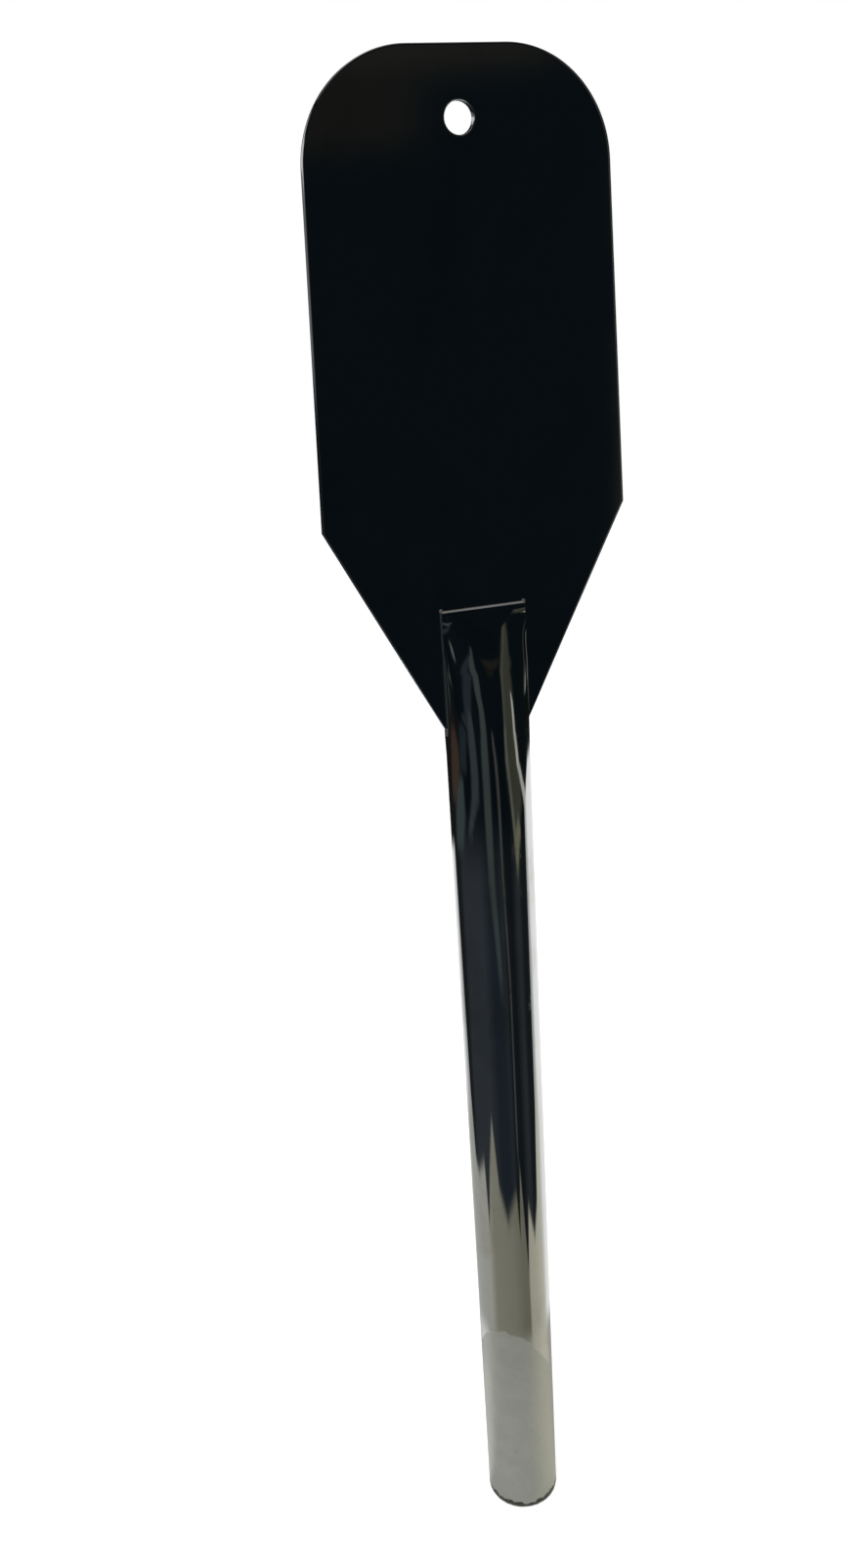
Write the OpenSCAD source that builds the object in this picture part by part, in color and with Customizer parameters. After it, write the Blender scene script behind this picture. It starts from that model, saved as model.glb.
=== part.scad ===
// Stirring paddle: a flared sheet blade in the slit, pressed end of a round tube handle.
// It hangs by the hole: +Z runs up the handle to the blade, X across the blade,
// -Y is the front face, and the origin is the hanging hole's centre.

/* [Blade] */
// Thickness of the blade's sheet
sheet_t = 3; // [2:0.1:4]
// Width across the shoulders, where the blade is widest
shoulder_w = 113; // [95:1:150]
// Width across the tip, before its corners are rounded
tip_w = 103; // [90:1:140]
// Length of the straight sides, from the tip's edge to the shoulders
side_l = 148.5; // [110:0.5:240]
// Length of the taper from the shoulders to the neck
taper_l = 77; // [60:1:120]
// How far each corner of the neck stands out beyond the tube
neck_step = 0.9; // [0.5:0.1:2]
// Radius of the tip's two corners
tip_corner_r = 36; // [10:1:40]

/* [Hanging hole] */
// Diameter of the hanging hole
hole_d = 10; // [6:0.5:16]
// Distance from the tip's edge to the hole's centre
hole_inset = 21.2; // [14:0.2:40]

/* [Handle tube] */
// Outside diameter of the tube
tube_d = 32; // [25:0.5:42]
// Wall of the tube
wall = 1.2; // [1:0.1:2]
// Length of the tube, from its mouth on the blade to the cap
tube_l = 428.2; // [260:0.2:900]
// How far the slit end reaches up over the blade from the neck
grip_l = 45; // [35:1:60]

/* [Pressed end] */
// How much wider than the tube its mouth is pressed
mouth_spread = 0.2; // [0:0.1:3]
// Length that lies flat on the blade below the mouth
flat_l = 2; // [2:0.1:12]
// Length from the mouth to where the tube is fully round
form_l = 92; // [75:1:120]
// Bevel ground on the mouth's edge
mouth_bevel = 0.8; // [0.4:0.1:0.9]
// Gap between the blade's faces and the slot
seat_gap = 0.02; // [0:0.01:0.2]
// Gap between the neck's end and the slot's roots
root_gap = 0.4; // [0.2:0.1:1]

/* [Welds] */
// How far the bead at each root of the slot laps over the faces of the sheet
bead_lap = 0.5; // [0.3:0.1:1]
// Length of the bead along the handle, between its round ends
bead_l = 3.6; // [2:0.1:6]
// How far the bead stands out from the neck's corner
bead_proud = 0.9; // [0.5:0.1:1.4]
// Radius of a tack at the mouth's corners
tack_r = 1.5; // [1.2:0.1:2]
// How far in from the mouth's side a tack's centre lies
tack_in = 0.2; // [0.1:0.1:0.5]

/* [Foot] */
// Thickness of the disc that closes the foot
cap_t = 1.6; // [1:0.1:3]
// How far the disc's edge sits on the end of the tube's wall
cap_seat = 0.3; // [0.2:0.1:0.6]
// Round ground on the foot's edge
foot_round = 0.7; // [0.3:0.1:0.9]

/* [Hidden] */

// Heights along the handle, from the hanging hole's centre
tip_z = hole_inset;
shoulder_z = tip_z - side_l;
neck_z = shoulder_z - taper_l;
mouth_z = neck_z + grip_l;
round_z = mouth_z - form_l;
tube_end_z = mouth_z - tube_l;
foot_z = tube_end_z - cap_t;

tube_r = tube_d / 2;
bore_r = tube_r - wall;
cap_r = bore_r + cap_seat;
neck_w = tube_d + 2 * neck_step;
mouth_w = tube_d + mouth_spread;
slot_half = sheet_t / 2 + seat_gap;
bead_r = sheet_t / 2 + bead_lap;

// How far a cutting solid runs past the face that it cuts through
cut_over = 1;

// The pressed end is a loft of rings from the mouth down to the round tube.
// Points from a ring's side to the middle of its face, and rings between the flat and the tube
quarter_steps = 12;
ring_sides = 4 * quarter_steps;
form_rings = 20;
// Crowds the rings together where the flat starts to open
ring_crowding = 1.4;
// The loft's last ring lies inside the straight tube's wall, so far along it and so far in
lap_l = 1;
lap_step = 0.12;

// Shape of the pressing. Across the handle, each face of the strap is an arc on two upright
// edges, which sink into the arc over this length, slowly first
edge_l = 56;
edge_power = 1.8;
// How fast the arc rises
opening_power = 4;
// How steeply the arc leaves its edges, as a share of a circle's steepness: at the flat, and from
// so far below it
fullness_flat = 2.3;
fullness_round = 1.35;
fullness_l = 42;
// The arc is flat in its middle at first, less and less over this length. A circle has 1
crown_power = 2.5;
crown_l = 20;
least_bend = 0.06;
// On the flat the hollow lies inside the slot, this far from its wall, and it comes out of it
// over the first part of the opening
hollow_dip = 0.6;
dip_end = 1 / 12;

// 0 on the flat, 1 where the tube is round, at a distance s below the mouth
function opened(s) = min(1, max(0, (s - flat_l) / (form_l - flat_l)));
function ease(u) = u * u * (3 - 2 * u);
// From 0 to 1 over a length that starts at the end of the flat
function along(s, length) = min(1, max(0, (s - flat_l) / length));

// Half width, half depth and edge height of the outside at a distance s below the mouth
function half_w(s) = mouth_w / 2 + (tube_r - mouth_w / 2) * ease(opened(s));
function half_d(s) =
    (slot_half + wall) + (tube_r - slot_half - wall) * (1 - pow(1 - opened(s), opening_power));
function edge_h(s) = (slot_half + wall) * (1 - pow(ease(along(s, edge_l)), edge_power));
function bevel(s) = max(0, mouth_bevel - s);
function lap(s) = lap_step * min(1, max(0, (s - form_l) / lap_l + 1));
function dip(s) = hollow_dip * (1 - min(1, opened(s) / dip_end));

// Angle by which the arc has turned at its edges, and how flat its middle is
function bend(s) =
    let (fullness = fullness_flat + (fullness_round - fullness_flat) * along(s, fullness_l))
    min(90, least_bend + 2 * atan(fullness * (half_d(s) - edge_h(s)) / half_w(s)));
function crown(s) = 1 / (1 + (1 / crown_power - 1) * (1 - along(s, crown_l)));

// Height of the arc, as a share of its rise, at an angle t from its middle, and the reverse
function arc_share(t, bend, crown) =
    1 - pow(1 - (cos(t) - cos(bend)) / (1 - cos(bend)), crown);
function arc_angle(share, bend, crown) =
    acos(min(1, cos(bend) + (1 - pow(1 - share, 1 / crown)) * (1 - cos(bend))));

// A quarter ring from its side to the middle of its face, of half width w, half depth d and
// edge height e: a point on the side, and the arc from the foot of its edge, or from a little
// above the blade's middle where the edge has come down
function quarter(w, d, e, bend, crown) =
    let (foot = min(d, max(e, slot_half / 2)),
         start = arc_angle(d > e ? (foot - e) / (d - e) : 0, bend, crown))
    concat([[w, 0]],
           [for (k = [0 : quarter_steps - 1])
               let (t = start * (1 - k / (quarter_steps - 1)))
               [w * sin(t) / sin(bend), e + (d - e) * arc_share(t, bend, crown)]]);

// A whole ring at the height z: the quarter and its three mirror images
function ring(w, d, e, bend, crown, z) =
    let (n = quarter_steps,
         p = quarter(w, d, e, bend, crown))
    concat([for (k = [0 : n - 1]) [p[k][0], p[k][1], z]],
           [for (k = [n : -1 : 1]) [-p[k][0], p[k][1], z]],
           [for (k = [0 : n - 1]) [-p[k][0], -p[k][1], z]],
           [for (k = [n : -1 : 1]) [p[k][0], -p[k][1], z]]);
function inset_ring(s, side, face) =
    ring(half_w(s) - side, half_d(s) - face, max(0, edge_h(s) - face), bend(s), crown(s),
         mouth_z - s);
function outer_ring(s) =
    let (inset = bevel(s) + lap(s))
    inset_ring(s, inset, inset);
function inner_ring(s) =
    let (inset = wall - lap(s))
    inset_ring(s, inset, inset + dip(s));

stations = concat([0, mouth_bevel, flat_l / 2],
                  [for (i = [0 : form_rings])
                      flat_l + (form_l - flat_l) * pow(i / form_rings, ring_crowding)],
                  [form_l + lap_l]);

// Faces that join ring i to ring i + 1, where first is the first ring's first point
function band(i, first, outwards) = [
    for (j = [0 : ring_sides - 1])
        let (k = (j + 1) % ring_sides,
             p = first + i * ring_sides,
             q = p + ring_sides)
        each outwards ? [[p + j, p + k, q + k], [p + j, q + k, q + j]]
                      : [[p + j, q + k, p + k], [p + j, q + j, q + k]]
];

// Faces across the wall's thickness at one end of the loft
function wall_end(outer, inner, up) = [
    for (j = [0 : ring_sides - 1])
        let (k = (j + 1) % ring_sides)
        each up ? [[outer + j, inner + k, outer + k], [outer + j, inner + j, inner + k]]
                : [[outer + j, outer + k, inner + k], [outer + j, inner + k, inner + j]]
];

// The sides lean outwards from the tip to the shoulders by this angle
side_lean = atan((shoulder_w - tip_w) / 2 / side_l);
function side_x(z) = (tip_w + (shoulder_w - tip_w) * (tip_z - z) / side_l) / 2;

module blade_outline() {
    corner_z = tip_z - tip_corner_r;
    corner_x = side_x(corner_z) - tip_corner_r / cos(side_lean);
    arc_steps = 24;
    half = concat([for (i = [0 : arc_steps])
                      let (a = 90 + (side_lean - 90) * i / arc_steps)
                      [corner_x + tip_corner_r * cos(a), corner_z + tip_corner_r * sin(a)]],
                  [[shoulder_w / 2, shoulder_z], [neck_w / 2, neck_z]]);
    polygon(concat(half, [for (i = [len(half) - 1 : -1 : 0]) [-half[i][0], half[i][1]]]));
}

module blade() {
    color([0.72, 0.73, 0.74])
        rotate([90, 0, 0])
            linear_extrude(sheet_t, center = true)
                difference() {
                    blade_outline();
                    circle(d = hole_d, $fn = 96);
                }
}

// Wall of the pressed end, before the slot is cut
module formed_wall() {
    n = len(stations);
    outer = [for (s = stations) each outer_ring(s)];
    inner = [for (s = stations) each inner_ring(s)];
    inside = n * ring_sides;
    last = (n - 1) * ring_sides;
    polyhedron(concat(outer, inner),
               concat([for (i = [0 : n - 2]) each band(i, 0, true)],
                      [for (i = [0 : n - 2]) each band(i, inside, false)],
                      wall_end(0, inside, true),
                      wall_end(last, inside + last, false)));
}

// A stretch of the same solid, filled, which trims what is laid on its outside between two
// distances below the mouth
module formed_outside(from, to) {
    all = len(stations);
    part = [for (i = [0 : all - 1])
                if ((i == all - 1 || stations[i + 1] > from) && (i == 0 || stations[i - 1] < to))
                    stations[i]];
    n = len(part);
    points = [for (s = part) each outer_ring(s)];
    last = (n - 1) * ring_sides;
    polyhedron(points,
               concat([for (i = [0 : n - 2]) each band(i, 0, true)],
                      [[for (j = [ring_sides - 1 : -1 : 0]) j]],
                      [[for (j = [0 : ring_sides - 1]) last + j]]));
}

module straight_wall() {
    straight_l = round_z - tube_end_z;
    translate([0, 0, tube_end_z])
        difference() {
            cylinder(h = straight_l, r = tube_r, $fn = 128);
            translate([0, 0, -cut_over])
                cylinder(h = straight_l + 2 * cut_over, r = bore_r, $fn = 128);
        }
}

// The slot that takes the blade, open at the mouth
module slot() {
    translate([-neck_w, -slot_half, neck_z - root_gap])
        cube([2 * neck_w, 2 * slot_half, grip_l + root_gap + cut_over]);
}

module handle_tube() {
    color([0.66, 0.67, 0.67])
        difference() {
            union() {
                formed_wall();
                straight_wall();
            }
            slot();
        }
}

// A bead with round ends along the neck's corner, on the outside of the blade and the tube
module slot_weld(side) {
    bead_x = neck_w / 2 + bead_proud - bead_r;
    reach = bead_l / 2 + bead_r;
    color([0.6, 0.6, 0.58])
        difference() {
            translate([side * bead_x, 0, neck_z - bead_l / 2]) {
                cylinder(h = bead_l, r = bead_r, $fn = 32);
                sphere(r = bead_r, $fn = 32);
                translate([0, 0, bead_l])
                    sphere(r = bead_r, $fn = 32);
            }
            blade();
            formed_outside(grip_l - reach, grip_l + reach);
        }
}

module slot_weld_left() {
    slot_weld(-1);
}

module slot_weld_right() {
    slot_weld(1);
}

// A block that is centred on the handle's axis, from one height to another
module block(w, d, from, to) {
    translate([-w / 2, -d / 2, from])
        cube([w, d, to - from]);
}

// The outside of the flat with the bevel on its mouth, filled
module mouth_outside() {
    flat_d = 2 * (slot_half + wall);
    flat_z = mouth_z - flat_l;
    hull() {
        block(mouth_w, flat_d, flat_z, mouth_z - mouth_bevel);
        block(mouth_w - 2 * mouth_bevel, flat_d - 2 * mouth_bevel, flat_z, mouth_z);
    }
}

// Four small tacks where the pressed end's corners meet the blade
module mouth_tacks() {
    color([0.6, 0.6, 0.58])
        difference() {
            for (side = [-1, 1], face = [-1, 1])
                translate([side * (mouth_w / 2 - tack_in), face * sheet_t / 2, mouth_z])
                    sphere(r = tack_r, $fn = 32);
            blade();
            mouth_outside();
        }
}

module end_cap() {
    color([0.62, 0.62, 0.6])
        translate([0, 0, foot_z])
            cylinder(h = cap_t, r = cap_r, $fn = 128);
}

// The weld fills the step round the disc, and is ground flush with the tube and round below
module end_cap_weld() {
    color([0.5, 0.5, 0.48])
        translate([0, 0, foot_z])
            rotate_extrude($fn = 128)
                intersection() {
                    translate([cap_r, 0])
                        square([tube_r - cap_r, cap_t]);
                    union() {
                        translate([0, foot_round])
                            square([tube_r, cap_t]);
                        square([tube_r - foot_round, cap_t]);
                        translate([tube_r - foot_round, foot_round])
                            circle(r = foot_round, $fn = 48);
                    }
                }
}

blade();
handle_tube();
slot_weld_left();
slot_weld_right();
mouth_tacks();
end_cap();
end_cap_weld();
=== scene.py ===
import math
import random

import bmesh
import bpy
import numpy as np
from mathutils import Euler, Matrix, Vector


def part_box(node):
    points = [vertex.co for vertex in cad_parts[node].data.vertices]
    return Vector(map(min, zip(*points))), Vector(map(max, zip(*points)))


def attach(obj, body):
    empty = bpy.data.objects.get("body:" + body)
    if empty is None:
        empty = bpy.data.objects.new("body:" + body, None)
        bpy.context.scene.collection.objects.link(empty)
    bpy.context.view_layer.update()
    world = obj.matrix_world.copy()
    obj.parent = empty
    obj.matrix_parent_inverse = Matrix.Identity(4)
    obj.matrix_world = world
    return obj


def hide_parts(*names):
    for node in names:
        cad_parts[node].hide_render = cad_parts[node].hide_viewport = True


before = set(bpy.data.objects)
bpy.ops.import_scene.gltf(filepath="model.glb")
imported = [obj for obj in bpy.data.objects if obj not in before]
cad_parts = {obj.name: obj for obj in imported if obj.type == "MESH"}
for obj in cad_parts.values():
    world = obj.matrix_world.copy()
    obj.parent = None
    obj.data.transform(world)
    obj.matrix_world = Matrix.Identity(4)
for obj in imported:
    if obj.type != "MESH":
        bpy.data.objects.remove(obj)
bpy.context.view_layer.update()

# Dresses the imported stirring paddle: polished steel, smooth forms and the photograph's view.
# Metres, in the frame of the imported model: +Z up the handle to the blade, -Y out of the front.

MM = 0.001
MICRON = 1e-6
random.seed(7)

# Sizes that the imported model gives
blade_low, blade_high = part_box("blade")
tube_low, tube_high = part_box("handle_tube")
cap_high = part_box("end_cap")[1]
foot_low, foot_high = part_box("end_cap_weld")
SHEET_HALF = blade_high.y
SHOULDER_HALF = blade_high.x
TIP_Z = blade_high.z
NECK_Z = blade_low.z
TUBE_R = foot_high.x
MOUTH_HALF = tube_high.x
MOUTH_Z = tube_high.z
TUBE_END_Z = tube_low.z
CAP_R = cap_high.x
CAP_TOP_Z = cap_high.z
FOOT_Z = foot_low.z
FOOT_H = foot_high.z - FOOT_Z
GRIP_L = MOUTH_Z - NECK_Z

# Sizes of the blade that its box doesn't give
TIP_HALF = 51.5 * MM
SIDE_L = 148.5 * MM
TIP_CORNER_R = 36 * MM
NECK_HALF = TUBE_R + 0.9 * MM
HOLE_R = 5 * MM
EDGE_ROUND = 0.45 * MM
EDGE_BORDER = 0.4 * MM
TIP_CORNER_STEPS = 48
EDGE_ROUND_STEPS = 5
OUTLINE_STEP = math.radians(2)

# Sizes of the pressed end
WALL = 1.2 * MM
SLOT_HALF = SHEET_HALF + 0.02 * MM
ROOT_GAP = 0.4 * MM
FLAT_L = 2 * MM
FORM_L = 92 * MM
MOUTH_BEVEL = 0.6 * MM
BROKEN_EDGE = 0.22 * MM
EDGE_L = 56 * MM
EDGE_POWER = 1.8
OPENING_POWER = 4
FULLNESS_FLAT = 2.3
FULLNESS_ROUND = 1.35
FULLNESS_L = 42 * MM
CROWN_POWER = 2.5
CROWN_L = 20 * MM
LEAST_BEND = 0.001

# Points of a ring round the tube: up the slot's half, just above its edge, then over the face
SIDE_STEPS = 3
CORNER_STEPS = 3
FACE_STEPS = 44
CORNER_H = 0.3 * MM
QUARTER = SIDE_STEPS + CORNER_STEPS + FACE_STEPS
RING = 4 * QUARTER
SLOT_EDGES = (SIDE_STEPS, 2 * QUARTER - SIDE_STEPS, 2 * QUARTER + SIDE_STEPS, RING - SIDE_STEPS)

# Rings down the tube, closer together towards the mouth
FLAT_STEPS = 4
FORM_STEPS = 80
FORM_CROWDING = 1.4
ROUND_STEPS = 40

# Welds
BEAD_R = SHEET_HALF + 0.5 * MM
BEAD_X = TUBE_R - 0.3 * BEAD_R
BEAD_RADII = (0.5 * BEAD_R, 0.85 * BEAD_R, BEAD_R)
BEAD_L = 3.6 * MM
BEAD_LUMPS = 0.05
TACK_R = 1.5 * MM
TACK_X = MOUTH_HALF - 0.2 * MM
TACK_RADII = (0.52 * TACK_R, 0.72 * TACK_R, 0.5 * TACK_R)
TACK_LUMPS = 0.10
RIPPLE_L = 0.45 * MM
POLE_SHARE = 0.02

# Foot: the cap's disc and the weld round it
FOOT_POINTS = 160
FOOT_ROUND = 0.7 * MM
FOOT_ROUND_STEPS = 10
CAP_MIDDLE_R = 0.4 * MM
CAP_RIM_LIFT = 0.14 * MM
WELD_OVERLAP = 0.05 * MM
WELD_LIP = 0.12 * MM
DENT = 0.16 * MM
DENT_REACH = 0.6 * MM

# The photograph's camera, fitted to the paddle's edges: place, turn in degrees, and lens for a
# 36 mm long side
CAMERA_PLACE = Vector((-0.1523, -0.4415, -0.0488))
CAMERA_TURN = (68.965, 3.440, -17.714)
CAMERA_LENS = 29.93


# Mesh helpers

def new_piece(name, verts, faces, material, sharp_angle=35):
    """A smooth-shaded mesh object with its faces turned outwards."""
    mesh = bpy.data.meshes.new(name)
    mesh.from_pydata([tuple(v) for v in verts], [], faces)
    shape = bmesh.new()
    shape.from_mesh(mesh)
    bmesh.ops.recalc_face_normals(shape, faces=shape.faces)
    shape.to_mesh(mesh)
    shape.free()
    mesh.shade_smooth()
    mesh.set_sharp_from_angle(angle=math.radians(sharp_angle))
    mesh.materials.append(material)
    piece = bpy.data.objects.new(name, mesh)
    bpy.context.scene.collection.objects.link(piece)
    return piece


def dress(piece, node):
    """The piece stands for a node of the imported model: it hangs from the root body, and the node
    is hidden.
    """
    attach(piece, "root")
    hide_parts(node)


def join_rings(rings, loop=False):
    """Vertices and quads of a stack of rings, whose last ring joins the first in a loop."""
    count = len(rings[0])
    verts = [p for ring in rings for p in ring]
    last = len(rings) if loop else len(rings) - 1
    faces = []
    for i in range(last):
        a, b = i * count, (i + 1) % len(rings) * count
        for j in range(count):
            k = (j + 1) % count
            faces.append((a + j, a + k, b + k, b + j))
    return verts, faces


def capped(rings, first=0):
    """Vertices of a stack of rings and faces that close it, numbered from first."""
    verts, faces = join_rings(rings)
    count = len(rings[0])
    last = len(verts) - count
    faces.append(tuple(range(count - 1, -1, -1)))
    faces.append(tuple(range(last, last + count)))
    return verts, [tuple(first + v for v in face) for face in faces]


def without_loose(verts, faces):
    """The vertices that the faces use, and the faces numbered to match."""
    used = sorted({v for face in faces for v in face})
    place = {v: n for n, v in enumerate(used)}
    return [verts[v] for v in used], [tuple(place[v] for v in face) for face in faces]


def ease(u):
    return u * u * (3 - 2 * u)


# Material helpers

def add_node(tree, kind, inputs=None, **settings):
    """A shader node. Each input is a value, or a socket to link."""
    made = tree.nodes.new(kind)
    for key, value in settings.items():
        setattr(made, key, value)
    for key, value in (inputs or {}).items():
        if isinstance(value, bpy.types.NodeSocket):
            tree.links.new(value, made.inputs[key])
        else:
            made.inputs[key].default_value = value
    return made


def calc(tree, operation, first, second=0.0, clamp=False):
    made = add_node(tree, "ShaderNodeMath", {0: first, 1: second}, operation=operation)
    made.use_clamp = clamp
    return made.outputs[0]


def weighted_sum(tree, *shares):
    """The sum of (value, weight) pairs."""
    total = calc(tree, "MULTIPLY", *shares[-1])
    for value, weight in reversed(shares[:-1]):
        total = calc(tree, "ADD", calc(tree, "MULTIPLY", value, weight), total)
    return total


def noise(tree, place, scale, detail=3.0, rough=0.5, distortion=0.0):
    made = add_node(tree, "ShaderNodeTexNoise", {
        "Vector": place, "Scale": scale, "Detail": detail, "Roughness": rough,
        "Distortion": distortion})
    return made.outputs["Fac"]


def spread(tree, value, low, high, to_low=0.0, to_high=1.0):
    """The value, taken from one range to another and held inside it."""
    made = add_node(tree, "ShaderNodeMapRange", {
        "Value": value, "From Min": low, "From Max": high, "To Min": to_low, "To Max": to_high})
    made.interpolation_type = "SMOOTHSTEP"
    return made.outputs["Result"]


def stretched(tree, scale):
    """Object coordinates, stretched so that a texture runs along one way."""
    place = add_node(tree, "ShaderNodeTexCoord").outputs["Object"]
    return add_node(tree, "ShaderNodeMapping", {"Vector": place, "Scale": scale}).outputs[0]


def distance_along(tree, place, way):
    """How far the place lies along a way, from the origin."""
    made = add_node(tree, "ShaderNodeVectorMath", {0: place, 1: way}, operation="DOT_PRODUCT")
    return made.outputs["Value"]


def blend_colour(tree, factor, first, second):
    """The first colour where the factor is 0, and the second where it is 1."""
    return add_node(tree, "ShaderNodeMix", {0: factor, 6: first, 7: second},
                    data_type="RGBA").outputs[2]


def blank_material(name):
    material = bpy.data.materials.new(name)
    material.use_nodes = True
    tree = material.node_tree
    tree.nodes.clear()
    out = add_node(tree, "ShaderNodeOutputMaterial")
    return material, tree, out


def grey(level):
    return (level, level, level, 1.0)


# Steel

# The dull film round the foot ends at a slanted plane, at a height and with a rise to the side
# that faces front left. Its edge is ragged by 5 mm, half of it on average.
FILM_Z = -514 * MM
FILM_RISE = 30 * MM
FILM_SIDE = (-0.62, -0.785)
FILM_RAGGED = 5 * MM
FILM_EDGE_LOW = 1.6 * MM
FILM_EDGE_HIGH = 3.4 * MM

# Dark pitting, packed into a band of painted shade at the bottom edge, is below the first height,
# and scuffs fade in above the second
PITS_AND_SHADE_Z = TUBE_END_Z + 4 * MM
SCUFFS_Z = -400 * MM
SCUFFS_FADE = 40 * MM
SCUFF_ROUGHNESS = 0.28


def foot_film(tree, place):
    """1 on the dull film round the handle's foot, else 0, with a slightly ragged edge."""
    slope = [share * FILM_RISE / TUBE_R for share in FILM_SIDE]
    below = distance_along(tree, place, (*slope, -1))
    ragged = noise(tree, place, scale=220, detail=3, rough=0.6)
    edge = calc(tree, "ADD", below, calc(tree, "MULTIPLY", ragged, FILM_RAGGED))
    return spread(tree, edge, FILM_EDGE_LOW - FILM_Z, FILM_EDGE_HIGH - FILM_Z)


def foot_pits_and_painted_shade(tree, place):
    """1 in dark pit marks by the cap's weld, merging into painted shade at the bottom edge, else 0.
    """
    below = distance_along(tree, place, (0, 0, -1))
    # Painted shade: the marks crowd together over the last few millimetres and darken the bottom
    # edge as a contact shadow would.
    near = spread(tree, below, -PITS_AND_SHADE_Z, -TUBE_END_Z, 0.0, 0.42)
    spots = calc(tree, "ADD", noise(tree, place, scale=330, detail=2, rough=0.6), near)
    return spread(tree, spots, 0.72, 0.80)


def scuffs(tree, place):
    """1 on the short scuffs that gather in patches of the upper handle, else 0."""
    patch = spread(tree, noise(tree, place, scale=13, detail=1), 0.46, 0.58)
    streaks = noise(tree, stretched(tree, (1, 1, 0.3)), scale=240, detail=4, rough=0.7,
                    distortion=0.4)
    height = distance_along(tree, place, (0, 0, 1))
    upper = spread(tree, height, SCUFFS_Z, SCUFFS_Z + SCUFFS_FADE)
    spots = calc(tree, "MULTIPLY", patch, spread(tree, streaks, 0.54, 0.72))
    return calc(tree, "MULTIPLY", upper, spots)


def film_coat(tree, place, rough, tone):
    """Roughness, colour and metallic share of polished steel with scuffs, film, pit marks and
    painted shade.
    """
    rough = calc(tree, "ADD", rough,
                 calc(tree, "MULTIPLY", scuffs(tree, place), SCUFF_ROUGHNESS))
    film, pits_and_shade = foot_film(tree, place), foot_pits_and_painted_shade(tree, place)
    mottle = noise(tree, place, scale=110, detail=5, rough=0.6)
    film_tone = blend_colour(tree, spread(tree, mottle, 0.35, 0.7),
                             (0.57, 0.58, 0.54, 1), (0.65, 0.655, 0.61, 1))
    film_rough = spread(tree, mottle, 0.3, 0.7, 0.34, 0.48)
    rough = calc(tree, "MAXIMUM", rough, calc(tree, "MULTIPLY", film, film_rough))
    tone = blend_colour(tree, film, tone, film_tone)
    # Painted shade: near-black pit marks that merge into a dark band along the foot's bottom edge.
    tone = blend_colour(tree, calc(tree, "MULTIPLY", film, pits_and_shade), tone, (0.10, 0.095, 0.08, 1))
    return rough, tone, spread(tree, film, 0, 1, 1.0, 0.78)


def steel(name, colour, dark, rough_range, line_scale, line_depth, wave_depth, metallic=1.0,
          coat=None):
    """Polished steel with smudges, polish lines and the slight waves of worked sheet."""
    material, tree, out = blank_material(name)
    place = stretched(tree, (1, 1, 1))
    lines = stretched(tree, line_scale)
    smudges = noise(tree, place, scale=26, detail=5, rough=0.62, distortion=0.6)
    specks = noise(tree, place, scale=420, detail=3, rough=0.6)
    scratches = noise(tree, lines, scale=900, detail=4, rough=0.7)
    waves = noise(tree, place, scale=18, detail=1, rough=0.4)
    wear = weighted_sum(tree, (smudges, 0.8), (scratches, 0.2))
    rough = spread(tree, wear, 0.35, 0.68, *rough_range)
    tone = blend_colour(tree, spread(tree, smudges, 0.45, 0.75), colour, dark)
    if coat:
        rough, tone, metallic = coat(tree, place, rough, tone)
    height = weighted_sum(tree, (scratches, line_depth), (waves, wave_depth),
                          (specks, 0.4 * line_depth))
    bump = add_node(tree, "ShaderNodeBump", {"Height": height, "Strength": 1.0, "Distance": 1.0})
    shader = add_node(tree, "ShaderNodeBsdfPrincipled", {
        "Base Color": tone, "Metallic": metallic, "Roughness": rough,
        "Normal": bump.outputs["Normal"]})
    tree.links.new(shader.outputs[0], out.inputs["Surface"])
    return material


def blade_polish():
    """Mirror polish, with its lines up and down the blade."""
    return steel("blade_polish", colour=(0.72, 0.73, 0.74, 1), dark=(0.60, 0.60, 0.59, 1),
                 rough_range=(0.02, 0.07), line_scale=(30, 1, 1), line_depth=0.3 * MICRON,
                 wave_depth=4 * MICRON)


def handle_polish():
    """Mirror polish, with its lines along the tube, and the film and wear of the handle."""
    return steel("handle_polish", colour=(0.70, 0.71, 0.71, 1), dark=(0.58, 0.58, 0.56, 1),
                 rough_range=(0.03, 0.09), line_scale=(1, 1, 0.05), line_depth=0.3 * MICRON,
                 wave_depth=5 * MICRON, coat=film_coat)


def weld_metal():
    """Dark, wire-brushed bead."""
    return steel("weld_metal", colour=(0.17, 0.165, 0.15, 1), dark=(0.08, 0.07, 0.055, 1),
                 rough_range=(0.42, 0.62), line_scale=(1, 1, 1), line_depth=3 * MICRON,
                 wave_depth=8 * MICRON, metallic=0.5)


def cap_satin():
    """Satin ground disc."""
    return steel("cap_satin", colour=(0.62, 0.62, 0.60, 1), dark=(0.42, 0.41, 0.39, 1),
                 rough_range=(0.24, 0.42), line_scale=(20, 1, 1), line_depth=4 * MICRON,
                 wave_depth=8 * MICRON)


def foot_weld_and_painted_shade():
    """Ground weld, nearly black in places: partly dark weld metal, partly painted shade at the
    foot's bottom edge.
    """
    return steel("foot_weld_and_painted_shade", colour=(0.15, 0.15, 0.13, 1), dark=(0.03, 0.028, 0.024, 1),
                 rough_range=(0.30, 0.55), line_scale=(1, 1, 1), line_depth=8 * MICRON,
                 wave_depth=20 * MICRON, metallic=0.6)


# Blade

def side_x(z):
    return TIP_HALF + (SHOULDER_HALF - TIP_HALF) * (TIP_Z - z) / SIDE_L


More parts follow.
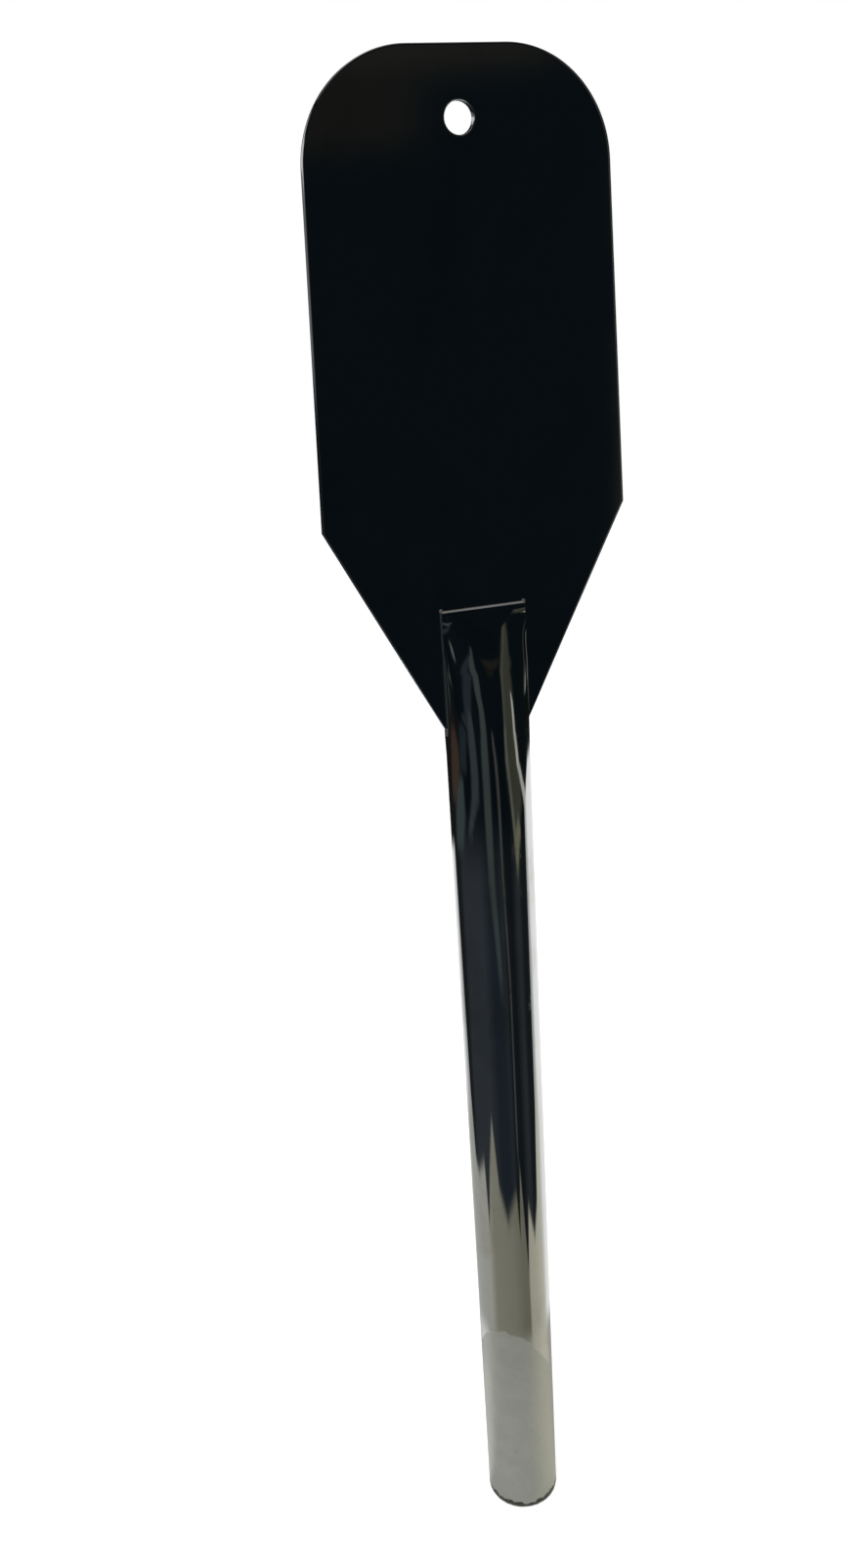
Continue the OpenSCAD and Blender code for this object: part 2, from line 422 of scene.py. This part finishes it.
def blade_corners():
    """The outline's points from the tip's right corner clockwise to its left corner."""
    lean = math.atan((SHOULDER_HALF - TIP_HALF) / SIDE_L)
    corner_z = TIP_Z - TIP_CORNER_R
    corner_x = side_x(corner_z) - TIP_CORNER_R / math.cos(lean)
    right = []
    for i in range(TIP_CORNER_STEPS + 1):
        a = math.pi / 2 + (lean - math.pi / 2) * i / TIP_CORNER_STEPS
        right.append((corner_x + TIP_CORNER_R * math.cos(a),
                      corner_z + TIP_CORNER_R * math.sin(a)))
    right += [(SHOULDER_HALF, TIP_Z - SIDE_L), (NECK_HALF, NECK_Z)]
    return right + [(-x, z) for x, z in reversed(right)]


def seen_from_hole(points):
    """The outline with points added, so that seen from the hole they are close together."""
    dense = []
    for (ax, az), (bx, bz) in zip(points, points[1:] + points[:1]):
        start, end = math.atan2(az, ax), math.atan2(bz, bx)
        turn = (end - start + math.pi) % (2 * math.pi) - math.pi
        count = max(1, math.ceil(abs(turn) / OUTLINE_STEP))
        for k in range(count):
            a = start + turn * k / count
            dx, dz = math.cos(a), math.sin(a)
            run = (bx - ax) * dz - (bz - az) * dx
            t = 0 if k == 0 else -(ax * dz - az * dx) / run
            dense.append((ax + t * (bx - ax), az + t * (bz - az)))
    return dense


def moved_in(points, distance):
    """A clockwise outline, moved inwards by a distance."""
    moved = []
    count = len(points)
    for i, (x, z) in enumerate(points):
        before = Vector(points[i - 1])
        after = Vector(points[(i + 1) % count])
        here = Vector((x, z))
        first, second = (here - before).normalized(), (after - here).normalized()
        normal = (Vector((first.y, -first.x)) + Vector((second.y, -second.x))).normalized()
        lean = normal.dot(Vector((second.y, -second.x)))
        moved.append(here + normal * distance / lean)
    return [(p.x, p.y) for p in moved]


def edge_profile():
    """(distance in from the edge, y) across a rounded edge, from the front face to the back."""
    front = [(EDGE_ROUND + EDGE_BORDER, -SHEET_HALF)]
    for i in range(EDGE_ROUND_STEPS + 1):
        a = math.pi / 2 * i / EDGE_ROUND_STEPS
        front.append((EDGE_ROUND * (1 - math.sin(a)),
                      -SHEET_HALF + EDGE_ROUND * (1 - math.cos(a))))
    return front + [(inset, -y) for inset, y in reversed(front)]


def make_blade():
    """The sheet: across its edge from front to back, then back through the hole's wall."""
    outline = seen_from_hole(blade_corners())
    angles = [math.atan2(z, x) for x, z in outline]
    rings = []
    for inset, y in edge_profile():
        rings.append([(x, y, z) for x, z in moved_in(outline, inset)])
    for inset, y in reversed(edge_profile()):
        r = HOLE_R + inset
        rings.append([(r * math.cos(a), y, r * math.sin(a)) for a in angles])
    verts, faces = join_rings(rings, loop=True)
    dress(new_piece("blade_sheet", verts, faces, blade_polish()), "blade")


# Handle tube with its pressed, slit end

def along(s, length):
    """From 0 to 1 over a length that starts at the end of the flat."""
    return min(1, max(0, (s - FLAT_L) / length))


def pressed_section(s):
    """Half width, half depth, edge height, bend and crown of the outside, s below the mouth.

    Each face of the strap is an arc on two upright edges, which sink into it on the way down.
    The bend is the arc's turn at its edges, and a crown above 1 flattens its middle."""
    opened = along(s, FORM_L - FLAT_L)
    strap = SLOT_HALF + WALL
    half_w = MOUTH_HALF + (TUBE_R - MOUTH_HALF) * ease(opened)
    half_d = strap + (TUBE_R - strap) * (1 - (1 - opened) ** OPENING_POWER)
    edge = strap * (1 - ease(along(s, EDGE_L)) ** EDGE_POWER)
    fullness = FULLNESS_FLAT + (FULLNESS_ROUND - FULLNESS_FLAT) * along(s, FULLNESS_L)
    bend = min(math.pi / 2, LEAST_BEND + 2 * math.atan(fullness * (half_d - edge) / half_w))
    crown = 1 / (1 + (1 / CROWN_POWER - 1) * (1 - along(s, CROWN_L)))
    return half_w, half_d, edge, bend, crown


def arc_share(t, bend, crown):
    """Height of the arc, as a share of its rise, at an angle t from its middle."""
    return 1 - (1 - (math.cos(t) - math.cos(bend)) / (1 - math.cos(bend))) ** crown


def arc_angle(share, bend, crown):
    """Angle from the arc's middle at which it has that share of its rise."""
    drop = (1 - min(1, max(0, share))) ** (1 / crown)
    return math.acos(min(1, math.cos(bend) + (1 - drop) * (1 - math.cos(bend))))


def section_ring(half_w, half_d, edge, bend, crown, z):
    """A ring of four mirrored quarters. One point of each lies at the slot's edge."""
    def arc_place(t):
        share = arc_share(min(t, bend), bend, crown)
        return half_w * math.sin(t) / math.sin(bend), edge + (half_d - edge) * share

    def angle_at(y):
        if y <= edge or half_d <= edge:
            return bend
        return arc_angle((y - edge) / (half_d - edge), bend, crown)

    slot_y = min(SLOT_HALF, half_d)
    corner_y = min(half_d, max(edge, slot_y + min(CORNER_H, (half_d - slot_y) / 2)))
    quarter = [(arc_place(angle_at(slot_y * k / SIDE_STEPS))[0], slot_y * k / SIDE_STEPS)
               for k in range(SIDE_STEPS)]
    for k in range(CORNER_STEPS):
        y = slot_y + (corner_y - slot_y) * k / CORNER_STEPS
        quarter.append((arc_place(angle_at(y))[0], y))
    start = angle_at(corner_y)
    quarter += [arc_place(start * (1 - k / FACE_STEPS)) for k in range(FACE_STEPS + 1)]
    back = quarter[:0:-1]
    return ([(x, y, z) for x, y in quarter[:-1]] + [(-x, y, z) for x, y in back]
            + [(-x, -y, z) for x, y in quarter[:-1]] + [(x, -y, z) for x, y in back])


def tube_stations():
    """Distances of the rings below the mouth, and that of the slit's root, which is one."""
    root = GRIP_L + ROOT_GAP
    length = MOUTH_Z - TUBE_END_Z
    stations = [0, root]
    for k in range(FLAT_STEPS + 1):
        stations.append(MOUTH_BEVEL + (FLAT_L - MOUTH_BEVEL) * k / FLAT_STEPS)
    for k in range(1, FORM_STEPS + 1):
        stations.append(FLAT_L + (FORM_L - FLAT_L) * (k / FORM_STEPS) ** FORM_CROWDING)
    for k in range(1, ROUND_STEPS + 1):
        stations.append(FORM_L + (length - FORM_L) * k / ROUND_STEPS)
    return sorted(set(stations)), root


def beside_slot(j):
    """Whether the step from point j of a ring to the next one lies in the slot."""
    k = j % (2 * QUARTER)
    return k < SIDE_STEPS or k >= 2 * QUARTER - SIDE_STEPS


def wall_faces(stations, root, inside):
    """Faces of the outside, the inside and the slit's edges. Inner points start at inside."""
    faces = []
    for i in range(len(stations) - 1):
        a, b = i * RING, (i + 1) * RING
        slit = stations[i + 1] <= root
        for j in range(RING):
            k = (j + 1) % RING
            if slit and beside_slot(j):
                continue
            faces.append((a + j, a + k, b + k, b + j))
            faces.append((inside + a + j, inside + b + j, inside + b + k, inside + a + k))
        if slit:
            for j in SLOT_EDGES:
                faces.append((a + j, b + j, inside + b + j, inside + a + j))
    return faces


def end_faces(stations, root, inside):
    """Faces across the wall at the mouth, at the slit's root and at the tube's other end."""
    faces = []
    root_row = stations.index(root) * RING
    last_row = (len(stations) - 1) * RING
    for j in range(RING):
        k = (j + 1) % RING
        for row in (root_row if beside_slot(j) else 0, last_row):
            faces.append((row + j, row + k, inside + row + k, inside + row + j))
    return faces


def break_edges(piece):
    """Rounds off the cut edges of the mouth and the slit."""
    bevel = piece.modifiers.new("broken_edges", "BEVEL")
    bevel.width = BROKEN_EDGE
    bevel.segments = 2
    bevel.limit_method = "ANGLE"
    bevel.angle_limit = math.radians(50)
    bevel.harden_normals = True


def make_tube():
    """The tube's outside and inside, slit from the mouth to the root."""
    stations, root = tube_stations()
    outer, inner = [], []
    for s in stations:
        half_w, half_d, edge, bend, crown = pressed_section(s)
        for rings, inset in ((outer, max(0, MOUTH_BEVEL - s)), (inner, WALL)):
            rings.append(section_ring(half_w - inset, half_d - inset, max(0, edge - inset), bend,
                                      crown, MOUTH_Z - s))
    verts = [p for ring in outer + inner for p in ring]
    inside = len(stations) * RING
    faces = wall_faces(stations, root, inside) + end_faces(stations, root, inside)
    verts, faces = without_loose(verts, faces)
    tube = new_piece("tube_shell", verts, faces, handle_polish())
    break_edges(tube)
    dress(tube, "handle_tube")


# Welds

def lumpy_ball(centre, radii, length, lumps, size=24):
    """Rings of a weld bead: a capsule along Z with ripples, no larger than its radii."""
    rings = []
    phase = [random.uniform(0, 2 * math.pi) for _ in range(3)]
    for i in range(size + 1):
        a = math.pi * (i / size - 0.5)
        lift = math.sin(a) * radii[2] + (length / 2 if a > 0 else -length / 2)
        ring = []
        for j in range(size):
            b = 2 * math.pi * j / size
            ripple = 1 - lumps * (0.5 + 0.5 * math.sin(lift / RIPPLE_L + phase[0]
                                                      + 0.8 * math.sin(b + phase[1])))
            reach = max(math.cos(a), POLE_SHARE) * ripple
            ring.append((centre[0] + radii[0] * reach * math.cos(b),
                         centre[1] + radii[1] * reach * math.sin(b), centre[2] + lift))
        rings.append(ring)
    return rings


def make_slot_beads(material):
    """A bead in each slot's root, at the blade's neck."""
    for side, name in ((-1, "left"), (1, "right")):
        rings = lumpy_ball((side * BEAD_X, 0, NECK_Z), BEAD_RADII, BEAD_L, BEAD_LUMPS)
        verts, faces = capped(rings)
        bead = new_piece("slot_bead_" + name, verts, faces, material)
        dress(bead, "slot_weld_" + name)


def make_mouth_tacks(material):
    """Four tacks in one piece, at the mouth's corners on both faces of the blade."""
    verts, faces = [], []
    for side in (-1, 1):
        for face in (-1, 1):
            rings = lumpy_ball((side * TACK_X, face * SHEET_HALF, MOUTH_Z), TACK_RADII, 0,
                               TACK_LUMPS, 20)
            more_verts, more_faces = capped(rings, len(verts))
            verts += more_verts
            faces += more_faces
    dress(new_piece("mouth_tack_beads", verts, faces, material), "mouth_tacks")


# Foot

def foot_turns():
    """Angles of the points round the foot."""
    return [2 * math.pi * j / FOOT_POINTS for j in range(FOOT_POINTS)]


def make_end_cap():
    """The cap's disc, whose rim lifts a little towards the weld."""
    rings = []
    crown = [(0.0, 0.0), (0.5, 0.0), (0.9, 0.02 * MM), (1.0, CAP_RIM_LIFT)]
    for share, lift in crown + [(1.0, CAP_TOP_Z - FOOT_Z)]:
        r = max(CAP_R * share, CAP_MIDDLE_R)
        rings.append([(r * math.cos(b), r * math.sin(b), FOOT_Z + lift) for b in foot_turns()])
    verts, faces = capped(rings)
    dress(new_piece("foot_disc", verts, faces, cap_satin()), "end_cap")


def foot_profile():
    """(distance out from the tube's radius, height) round the weld's section."""
    inner = CAP_R - TUBE_R - WELD_OVERLAP
    profile = [(inner, FOOT_H), (0.0, FOOT_H)]
    for i in range(FOOT_ROUND_STEPS + 1):
        a = math.pi / 2 * i / FOOT_ROUND_STEPS
        profile.append((-FOOT_ROUND * (1 - math.cos(a)), FOOT_ROUND * (1 - math.sin(a))))
    return profile + [(inner, WELD_LIP)]


def dent(b, lift):
    """Depth of the weld's dents at an angle b, deepest at the bottom."""
    lump = 0.5 + 0.5 * math.sin(23 * b + 2 * math.sin(5 * b)) * math.cos(7 * b + 1)
    return DENT * lump * (1 - lift / FOOT_H)


def make_foot_weld():
    """The ring of weld between the cap and the tube, dented on its outside."""
    rings = []
    for out, lift in foot_profile():
        ring = []
        for b in foot_turns():
            r = TUBE_R + out - (dent(b, lift) if out > -DENT_REACH else 0)
            ring.append((r * math.cos(b), r * math.sin(b), FOOT_Z + lift))
        rings.append(ring)
    verts, faces = join_rings(rings, loop=True)
    weld = new_piece("foot_weld_ring", verts, faces, foot_weld_and_painted_shade(), sharp_angle=60)
    dress(weld, "end_cap_weld")


# Studio

WORLD_LIGHT = 0.6
FLOOR_HALF = 6.0
FLOOR_GAP = 0.3 * MM
FLOOR_LIFT = 0.52


def seen_by_camera_and_metal(tree):
    """1 for camera, glossy and transmission rays, else 0."""
    path = add_node(tree, "ShaderNodeLightPath").outputs
    both = calc(tree, "ADD", path["Is Camera Ray"], path["Is Glossy Ray"])
    return calc(tree, "ADD", both, path["Is Transmission Ray"], clamp=True)


def make_world():
    """Soft white light, which the camera and the metal see as white."""
    world = bpy.data.worlds.new("studio")
    bpy.context.scene.world = world
    world.use_nodes = True
    tree = world.node_tree
    tree.nodes.clear()
    out = add_node(tree, "ShaderNodeOutputWorld")
    strength = spread(tree, seen_by_camera_and_metal(tree), 0, 1, WORLD_LIGHT, 1.0)
    light = add_node(tree, "ShaderNodeBackground", {"Color": grey(1.0), "Strength": strength})
    tree.links.new(light.outputs[0], out.inputs["Surface"])


def pale_floor():
    """Pale matt floor, lifted to white for the camera."""
    material, tree, out = blank_material("pale_floor")
    grain = noise(tree, stretched(tree, (1, 1, 1)), scale=60, detail=3)
    colour = blend_colour(tree, grain, grey(0.80), grey(0.84))
    base = add_node(tree, "ShaderNodeBsdfDiffuse", {"Color": colour})
    strength = calc(tree, "MULTIPLY", seen_by_camera_and_metal(tree), FLOOR_LIFT)
    lift = add_node(tree, "ShaderNodeEmission", {"Color": grey(1.0), "Strength": strength})
    both = add_node(tree, "ShaderNodeAddShader", {0: base.outputs[0], 1: lift.outputs[0]})
    tree.links.new(both.outputs[0], out.inputs["Surface"])
    return material


def make_floor():
    z = FOOT_Z - FLOOR_GAP
    corners = [(x * FLOOR_HALF, y * FLOOR_HALF, z) for x, y in ((-1, -1), (1, -1), (1, 1), (-1, 1))]
    new_piece("floor", corners, [(0, 1, 2, 3)], pale_floor())


# Painted reflections: the card below glows with listed tones, and only the metal's reflections see
# it. It paints the dark room, its streaks, the window and the pale floor that the polished steel
# shows.
# What the polished steel mirrors is a card round the paddle: a disc on the floor whose rim turns
# up into a round screen. A place on it is an azimuth in degrees, 0 before the front face and 90
# on the right, and a reach in metres: below 0 on the disc, above 0 up the screen, and above the
# screen's height on the ceiling. Its tones are listed, a few for each direction.

SCREEN_R = 1.7
SCREEN_H = 2.4
CEILING = (0.21, 0.21, 0.205)
CARD_GAP = 0.1 * MM
CARD_HOLE_R = 16.4 * MM
CARD_FINE_R = 0.5
CARD_FINE_STEP = 4 * MM
CARD_COARSE_STEP = 20 * MM
CARD_TURN_STEP = 0.5
SCREEN_ROWS = 80
CEILING_ROWS = 12

# Painted reflection of a pale floor: round the foot, before the handle, and further out, from these
# radii on
NEAR_R = 0.118
FAR_R = 0.33
FOOT_FLOOR = [(-180, 0.46, 0.46, 0.44), (-150, 0.72, 0.72, 0.70), (-120, 0.74, 0.74, 0.72),
              (-98, 0.32, 0.33, 0.31), (10, 0.30, 0.31, 0.28), (32, 0.42, 0.41, 0.34),
              (70, 0.56, 0.54, 0.44), (90, 0.56, 0.54, 0.46), (112, 0.38, 0.38, 0.34),
              (180, 0.42, 0.42, 0.40)]
NEAR_FLOOR = [(-180, 0.75, 0.75, 0.72), (-160, 0.42, 0.43, 0.40), (-120, 0.39, 0.395, 0.36),
              (-92, 0.39, 0.38, 0.34), (-72, 0.24, 0.235, 0.19), (-15, 0.21, 0.205, 0.16),
              (10, 0.17, 0.165, 0.125), (29, 0.155, 0.15, 0.11), (35, 0.40, 0.385, 0.31),
              (60, 0.45, 0.43, 0.34), (90, 0.55, 0.55, 0.47), (110, 0.92, 0.92, 0.90),
              (180, 0.75, 0.75, 0.72)]
FAR_FLOOR = [(-180, 0.95, 0.95, 0.95), (-163, 0.85, 0.86, 0.86), (-152, 0.50, 0.51, 0.50),
             (-140, 0.40, 0.41, 0.40), (80, 0.30, 0.31, 0.30), (90, 0.50, 0.51, 0.49),
             (98, 0.95, 0.95, 0.94), (180, 0.95, 0.95, 0.95)]

# Painted reflection of the room's dark part: beyond the disc's pale middle, and further off up the
# screen, from this reach on
FAR_REACH = -0.92
NEAR_DARK = [(-180, 0.010, 0.011, 0.012), (-130, 0.012, 0.013, 0.015),
             (-115, 0.031, 0.036, 0.043), (-60, 0.031, 0.036, 0.043), (-35, 0.014, 0.019, 0.026),
             (-12, 0.014, 0.019, 0.026), (0, 0.020, 0.026, 0.031), (8, 0.008, 0.012, 0.015),
             (28, 0.008, 0.010, 0.012), (45, 0.024, 0.029, 0.033), (52, 0.024, 0.029, 0.033),
             (62, 0.010, 0.013, 0.015), (180, 0.010, 0.011, 0.012)]
FAR_DARK = [(-180, 0.009, 0.009, 0.009), (-115, 0.009, 0.009, 0.009), (-85, 0.003, 0.005, 0.008),
            (-40, 0.004, 0.007, 0.009), (-5, 0.003, 0.0055, 0.0075), (35, 0.003, 0.0055, 0.0075),
            (110, 0.004, 0.006, 0.006), (180, 0.009, 0.009, 0.009)]

# Radius in metres from which the disc is dark, by azimuth: the painted fingers of reflection in the
# handle
DARK_FROM = [(-180, 0.76), (-152, 0.78), (-146, 0.53), (-140, 0.34), (-130, 0.265),
             (-118, 0.253), (-94, 0.268), (-86, 0.205), (-76, 0.262), (-62, 0.320),
             (-48, 0.246), (-26, 0.215), (-2, 0.238), (3, 0.240), (9, 0.198), (16, 0.268),
             (31, 0.168), (39, 0.226), (58, 0.194), (73, 0.224), (81, 0.320), (86, 0.86),
             (100, 0.98), (110, 1.06), (180, 1.06)]

# Painted lighter streaks in the dark room: colour, then (reach, azimuth, half width) down their
# length
STREAK_SOFTNESS = 0.8
STREAK_END = 0.06
STREAKS = [
    # Wedge on the right: its fill, its left edge in two parts, its bright foot, its right edge
    ((0.043, 0.046, 0.034), [(1.50, 29, 1), (1.20, 31, 3), (0.80, 34, 5), (0.45, 39, 9),
                             (0.02, 43, 13), (-0.41, 46, 17), (-0.62, 52, 20), (-0.80, 56, 18),
                             (-0.96, 51, 3)]),
    ((0.060, 0.064, 0.050), [(1.48, 28.5, 1), (1.20, 29, 1.6), (0.80, 29.5, 2), (0.40, 30, 2.4),
                             (-0.06, 30.5, 3)]),
    ((0.105, 0.108, 0.088), [(0.12, 30, 2.6), (-0.41, 31.5, 4), (-0.60, 35, 4),
                             (-0.77, 40.5, 3.4), (-0.90, 47, 4), (-0.97, 51, 3)]),
    ((0.150, 0.145, 0.100), [(-0.85, 60, 3), (-0.89, 58, 10), (-0.93, 53, 7), (-0.98, 51, 3)]),
    ((0.440, 0.440, 0.390), [(0.36, 46, 0.6), (0.23, 50, 1.8), (0.02, 55.5, 2.6), (-0.28, 60, 3),
                             (-0.55, 65.5, 3.8), (-0.70, 78, 5), (-0.83, 96, 8),
                             (-0.92, 104, 8)]),
    # Brown cast of painted reflection at the blade's tip
    ((0.0145, 0.0142, 0.0122), [(0.96, 16, 9), (0.83, 16, 9)]),
    ((0.0100, 0.0102, 0.0092), [(0.86, 12, 5), (0.73, 12, 5)]),
    # Line along the strap's right side
    ((0.026, 0.030, 0.033), [(0.42, 92, 5), (0.20, 92, 5), (0.02, 96, 5)]),
    ((0.220, 0.235, 0.210), [(0.06, 99, 3), (0.00, 101, 4), (-0.08, 102, 3)]),
    # Wedge on the left: its right edge, its left edge and the bands below it
    ((0.043, 0.055, 0.053), [(1.10, 0, 1), (0.90, -6, 2), (0.72, -12, 4), (0.43, -18, 5),
                             (0.24, -18.5, 5), (-0.04, -24, 7), (-0.53, -27, 9), (-0.82, -27, 9),
                             (-1.00, -26, 8), (-1.20, -12, 5)]),
    ((0.019, 0.026, 0.032), [(0.92, -8, 1), (0.80, -13, 2.5), (0.51, -30, 5), (0.19, -47, 7),
                             (-0.14, -63, 7), (-0.30, -70, 7)]),
    ((0.036, 0.044, 0.050), [(0.10, -48, 3), (0.00, -51, 5), (-0.46, -57, 9), (-0.66, -58, 10),
                             (-0.77, -60, 10), (-0.89, -82, 6)]),
    ((0.016, 0.025, 0.030), [(-0.38, -72, 6), (-0.50, -82, 9), (-0.66, -92, 9)]),
    ((0.040, 0.056, 0.059), [(-0.70, -100, 6), (-0.76, -107, 12), (-0.84, -113, 18),
                             (-0.93, -122, 14)]),
    ((0.050, 0.034, 0.026), [(-0.59, -118, 10), (-0.64, -119, 17), (-0.70, -124, 16),
                             (-0.80, -131, 13)]),
    # Line along the strap's left side
    ((0.050, 0.054, 0.052), [(0.14, -106, 7), (-0.05, -101, 7), (-0.14, -106, 12),
                             (-0.25, -146, 14), (-0.33, -158, 12), (-0.50, -148, 8),
                             (-0.58, -148, 6)]),
    # Thin line down the middle
    ((0.055, 0.055, 0.052), [(0.10, -2, 2), (-0.10, -1, 3), (-0.52, 1.5, 3.5), (-0.80, 4, 3.5),
                             (-0.97, 5, 3), (-1.10, 9, 2.6), (-1.20, 13, 2.4), (-1.42, 12, 2.4)]),
]

# Grey window on the left, paler in its upper part, which the blade's left edge mirrors
WINDOW_MIDDLE = -112
WINDOW_HALF = 58
WINDOW_LOW = 0.44
WINDOW_HIGH = 1.3
WINDOW_PALE_FROM = 0.745
WINDOW_GREY = 0.13
WINDOW_PALER = 0.5


def stops(azimuth, table):
    """Colours for an array of azimuths, from (azimuth, red, green, blue) stops."""
    table = np.array(table)
    return np.stack([np.interp(azimuth, table[:, 0], table[:, k]) for k in (1, 2, 3)], -1)


def soft_step(value, edge, width):
    """From 0 below the edge to 1 above it, over that width."""
    return ease(np.clip((value - edge) / width + 0.5, 0, 1))


def pale_tone(azimuth, radius):
    """The disc's painted reflection of a pale floor."""
    near = soft_step(radius, NEAR_R, 0.02)[..., None]
    far = soft_step(radius, FAR_R, 0.10)[..., None]
    pale = stops(azimuth, FOOT_FLOOR) * (1 - near) + stops(azimuth, NEAR_FLOOR) * near
    return pale * (1 - far) + stops(azimuth, FAR_FLOOR) * far


def streak_cover(azimuth, reach, path):
    """1 on the streak along that path, else 0, with soft sides and ends."""
    reaches, middles, halves = np.array(path[::-1]).T
    ends = np.minimum(soft_step(reach, reaches[0], STREAK_END),
                      soft_step(-reach, -reaches[-1], STREAK_END))
    off = np.abs(azimuth - np.interp(reach, reaches, middles)) / np.interp(reach, reaches, halves)
    return soft_step(-off, -1.0, STREAK_SOFTNESS) * ends


def dark_tone(azimuth, reach):
    """The painted reflection of the dark room, with its lighter streaks."""
    far = soft_step(reach, FAR_REACH, 0.25)[..., None]
    dark = stops(azimuth, NEAR_DARK) * (1 - far) + stops(azimuth, FAR_DARK) * far
    for colour, path in STREAKS:
        cover = streak_cover(azimuth, reach, path)[..., None]
        dark = dark + cover * np.maximum(np.array(colour) - dark, 0)
    return dark


def with_window(tone, azimuth, reach):
    """The tone with the painted reflection of a grey window over it."""
    beside = np.abs((azimuth - WINDOW_MIDDLE + 180) % 360 - 180)
    cover = soft_step(-beside, -WINDOW_HALF, 4) * soft_step(reach, WINDOW_LOW, 0.1)
    cover = (cover * soft_step(-reach, -WINDOW_HIGH, 0.2))[..., None]
    level = WINDOW_GREY + WINDOW_PALER * soft_step(reach, WINDOW_PALE_FROM, 0.05)[..., None]
    return tone + cover * (level - tone)


def painted_reflection_tone(azimuth, reach):
    """Red, green and blue of the painted reflections on the card, at arrays of azimuths and
    reaches.
    """
    radius = SCREEN_R + np.minimum(reach, 0)
    edge = np.interp(azimuth, *np.array(DARK_FROM).T)
    shade = soft_step(radius, edge, 0.012 + 0.04 * edge)[..., None]
    tone = pale_tone(azimuth, radius) * (1 - shade) + dark_tone(azimuth, reach) * shade
    tone = with_window(tone, azimuth, reach)
    lid = soft_step(reach, SCREEN_H, 0.1)[..., None]
    return tone + lid * (np.array(CEILING) - tone)


def card_grid():
    """Reaches and azimuths of the card's rows and columns, closest together round the foot."""
    radius = np.concatenate([np.arange(CARD_HOLE_R, CARD_FINE_R, CARD_FINE_STEP),
                             np.arange(CARD_FINE_R, SCREEN_R, CARD_COARSE_STEP)])
    reach = np.concatenate([radius - SCREEN_R, np.linspace(0, SCREEN_H, SCREEN_ROWS),
                            SCREEN_H + np.linspace(0.05, SCREEN_R - 0.01, CEILING_ROWS)])
    return np.meshgrid(reach, np.arange(-180, 180, CARD_TURN_STEP), indexing="ij")


def card_places(azimuth, reach):
    """The card's vertices: over the disc, up the screen and back in under the ceiling."""
    radius = SCREEN_R + np.minimum(reach, 0) - np.maximum(reach - SCREEN_H, 0)
    turn = np.radians(azimuth)
    height = FOOT_Z - CARD_GAP + np.clip(reach, 0, SCREEN_H)
    return np.stack([radius * np.sin(turn), -radius * np.cos(turn), height], -1).reshape(-1, 3)


def card_faces(rows, columns):
    """Quads between neighbouring rows, closed round the azimuths."""
    row = np.arange(rows - 1)[:, None] * columns
    first = (row + np.arange(columns)).ravel()
    after = (row + (np.arange(columns) + 1) % columns).ravel()
    return np.stack([first, after, after + columns, first + columns], -1)


def painted_reflection_glow():
    """Gives off the tone of each vertex: a glow, not a lamp, that paints what the metal reflects.
    """
    material, tree, out = blank_material("painted_reflection_card")
    colour = add_node(tree, "ShaderNodeVertexColor", layer_name="tone").outputs["Color"]
    light = add_node(tree, "ShaderNodeEmission", {"Color": colour, "Strength": 1.0})
    tree.links.new(light.outputs[0], out.inputs["Surface"])
    return material


def make_painted_reflection_card():
    """The glowing card of painted reflections, which only the metal's reflections see, coloured
    vertex by vertex.
    """
    reach, azimuth = card_grid()
    tone = painted_reflection_tone(azimuth, reach).reshape(-1, 3)
    mesh = bpy.data.meshes.new("painted_reflection_card")
    mesh.from_pydata(card_places(azimuth, reach).tolist(), [], card_faces(*reach.shape).tolist())
    layer = mesh.color_attributes.new("tone", "FLOAT_COLOR", "POINT")
    layer.data.foreach_set("color", np.c_[tone, np.ones(len(tone))].astype(np.float32).ravel())
    mesh.materials.append(painted_reflection_glow())
    card = bpy.data.objects.new("painted_reflection_card", mesh)
    bpy.context.scene.collection.objects.link(card)
    # Only glossy rays see the card, so its glow shows as painted reflections and lights nothing.
    card.visible_camera = False
    card.visible_diffuse = False
    card.visible_shadow = False
    card.visible_transmission = False


def make_lamp(name, place, size, power):
    """A soft round lamp aimed at the paddle's middle, unseen by the metal."""
    data = bpy.data.lights.new(name, "AREA")
    data.shape = "DISK"
    data.size = size
    data.energy = power
    lamp = bpy.data.objects.new(name, data)
    lamp.location = place
    aim = Vector((0, 0, (TIP_Z + FOOT_Z) / 2)) - Vector(place)
    lamp.rotation_euler = aim.to_track_quat("-Z", "Y").to_euler()
    lamp.visible_glossy = False
    bpy.context.scene.collection.objects.link(lamp)


def make_camera():
    data = bpy.data.cameras.new("photo_camera")
    data.lens = CAMERA_LENS
    data.sensor_width = 36
    data.clip_start = 0.01
    data.clip_end = 50
    camera = bpy.data.objects.new("photo_camera", data)
    camera.location = CAMERA_PLACE
    camera.rotation_euler = Euler([math.radians(a) for a in CAMERA_TURN], "XYZ")
    bpy.context.scene.collection.objects.link(camera)
    bpy.context.scene.camera = camera


make_camera()
make_blade()
make_tube()
bead_material = weld_metal()
make_slot_beads(bead_material)
make_mouth_tacks(bead_material)
make_end_cap()
make_foot_weld()
make_world()
make_floor()
make_painted_reflection_card()
make_lamp("key", place=(-1.0, -1.2, 1.6), size=1.2, power=26)
make_lamp("fill", place=(1.6, 0.6, 1.4), size=1.4, power=12)
bpy.context.scene.view_settings.view_transform = "Standard"
